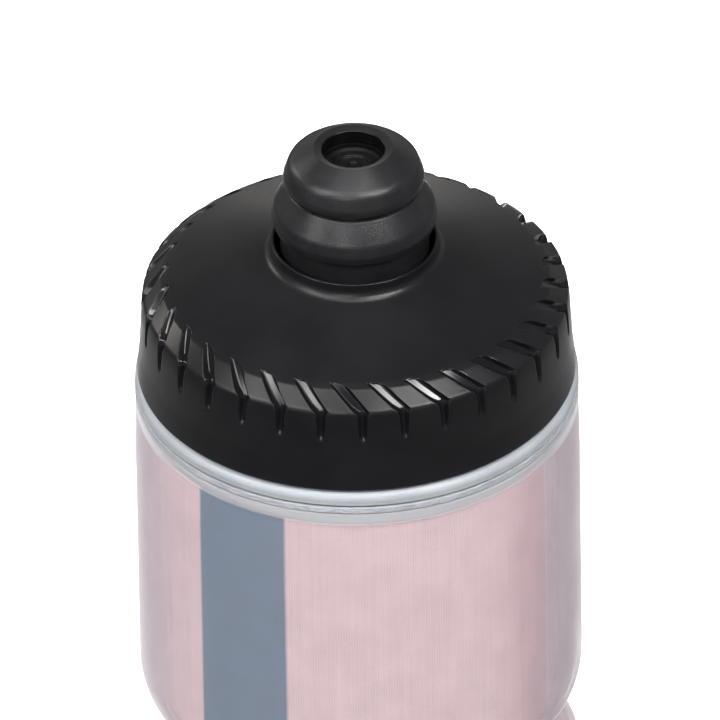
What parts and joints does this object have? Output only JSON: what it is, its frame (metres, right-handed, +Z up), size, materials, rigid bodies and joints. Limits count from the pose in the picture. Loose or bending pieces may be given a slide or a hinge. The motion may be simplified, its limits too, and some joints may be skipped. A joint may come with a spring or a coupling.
{
  "type": "insulated bicycle water bottle",
  "caption": "Double-walled squeeze bottle with a grip waist, a screw cap with a notched rim, and a push-pull drinking nozzle.",
  "frame": {"origin": "middle of the foot ring, on the surface that the bottle stands on", "axes": "+Z up along the bottle's axis towards the nozzle; +X towards the side where the waist's lower shoulder is highest; -Y is the side the picture shows"},
  "size_m": [0.074, 0.074, 0.2359],
  "materials": {
    "frosted_jacket": "translucent, frosted, soft gloss",
    "printed_film": "printed woven-look film, pale pink with one blue-grey stripe",
    "foil": "thin metallised sheet",
    "clear_liner": "translucent, glossy",
    "frosted_base": "translucent, frosted",
    "cap_plastic": "fine satin grain, glossy in the notches",
    "gasket": "soft, milky white",
    "insert_plastic": "smooth satin",
    "black_silicone": "smooth, slightly glossy",
    "soft_grip": "soft matte"
  },
  "bodies": {
    "bottle": {"outer_jacket": "frosted_jacket", "graphic_film": "printed_film", "foil_barrier": "foil", "inner_bottle": "clear_liner", "base_plug": "frosted_base"},
    "cap_seal": {"cap_gasket": "gasket"},
    "cap": {"cap": "cap_plastic", "post_insert": "insert_plastic", "insert_seal": "black_silicone", "nozzle_o_ring": "black_silicone"},
    "nozzle": {"nozzle_core": "insert_plastic", "valve_retainer": "insert_plastic", "flow_valve": "black_silicone", "nozzle_grip": "soft_grip"}
  },
  "joints": [
    {"name": "cap_lift", "type": "slide", "parent": "bottle", "child": "cap_seal", "axis": [0, 0, 1], "range_m": [0, 0.0135]},
    {"name": "cap_turn", "type": "hinge", "parent": "cap_seal", "child": "cap", "pos_m": [0, 0, 0.192], "axis": [0, 0, 1], "range_deg": [0, 1080]},
    {"name": "nozzle_pull", "type": "slide", "parent": "cap", "child": "nozzle", "axis": [0, 0, 1], "range_m": [0, 0.005]}
  ],
  "couplings": [
    {"joint": "cap_lift", "follows": "cap_turn", "m_per_rad": 0.0007162}
  ]
}
